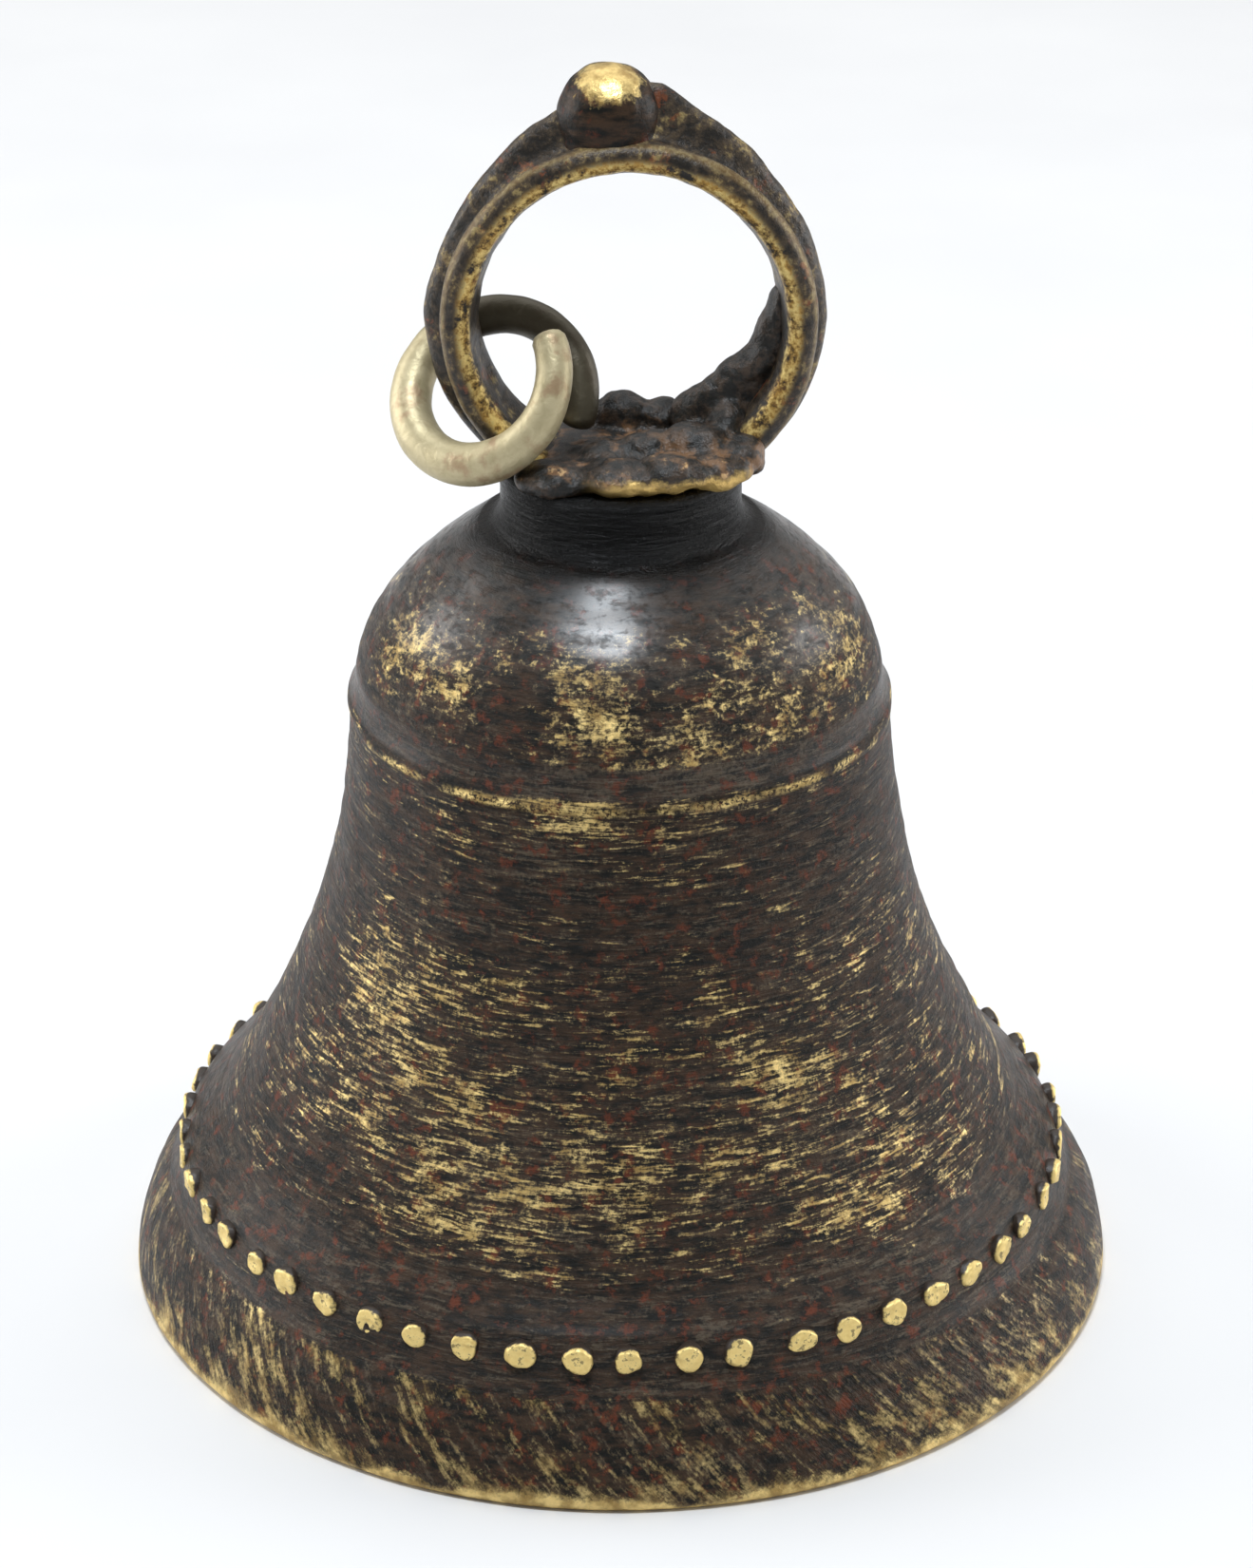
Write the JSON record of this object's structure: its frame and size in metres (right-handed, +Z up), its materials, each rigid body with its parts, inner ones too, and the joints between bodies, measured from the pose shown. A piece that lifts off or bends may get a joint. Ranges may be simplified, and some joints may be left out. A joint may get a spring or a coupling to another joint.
{
  "type": "temple bell",
  "caption": "Small cast hand bell with a flared mouth, a beaded lip, a domed crown, a finger-ring loop with a wire link, and a hanging clapper.",
  "frame": {"origin": "centre of the mouth, on the surface the bell stands on", "axes": "+Z up through the crown; the crown loop's axis lies along Y; +X to the side away from the wire link"},
  "size_m": [0.06, 0.06, 0.0746],
  "materials": {
    "patinated_bronze": "dark brown cast patina, worn to brass in streaks",
    "worn_pellets": "cast pellets polished by handling",
    "loop_bronze": "dark grey-brown patina with ochre worn edges",
    "braze_brass": "rough lumpy braze, brown and orange with torn bright edges",
    "link_brass": "pale nickel-tan brass wire, satin",
    "clapper_iron": "forged iron, dark with a little rust"
  },
  "bodies": {
    "bell": {"bell_shell": "patinated_bronze", "pellet_row": "worn_pellets", "crown_loop": "loop_bronze", "loop_knob": "worn_pellets", "braze_mound": "braze_brass", "clapper_staple": "clapper_iron"},
    "link": {"link_ring": "link_brass"},
    "chain": {"clapper_link": "clapper_iron"},
    "clapper": {"clapper_rod": "clapper_iron", "clapper_ball": "clapper_iron"}
  },
  "joints": [
    {"name": "link_round_loop", "type": "hinge", "parent": "bell", "child": "link", "pos_m": [0.0005, 0, 0.06015], "axis": [0, 1, 0], "range_deg": [0, 75]},
    {"name": "clapper_side_swing", "type": "hinge", "parent": "bell", "child": "chain", "pos_m": [0, 0, 0.0396], "axis": [1, 0, 0], "range_deg": [-9, 9]},
    {"name": "clapper_swing", "type": "hinge", "parent": "chain", "child": "clapper", "pos_m": [0, 0, 0.03557], "axis": [0, 1, 0], "range_deg": [-30, 30]}
  ]
}
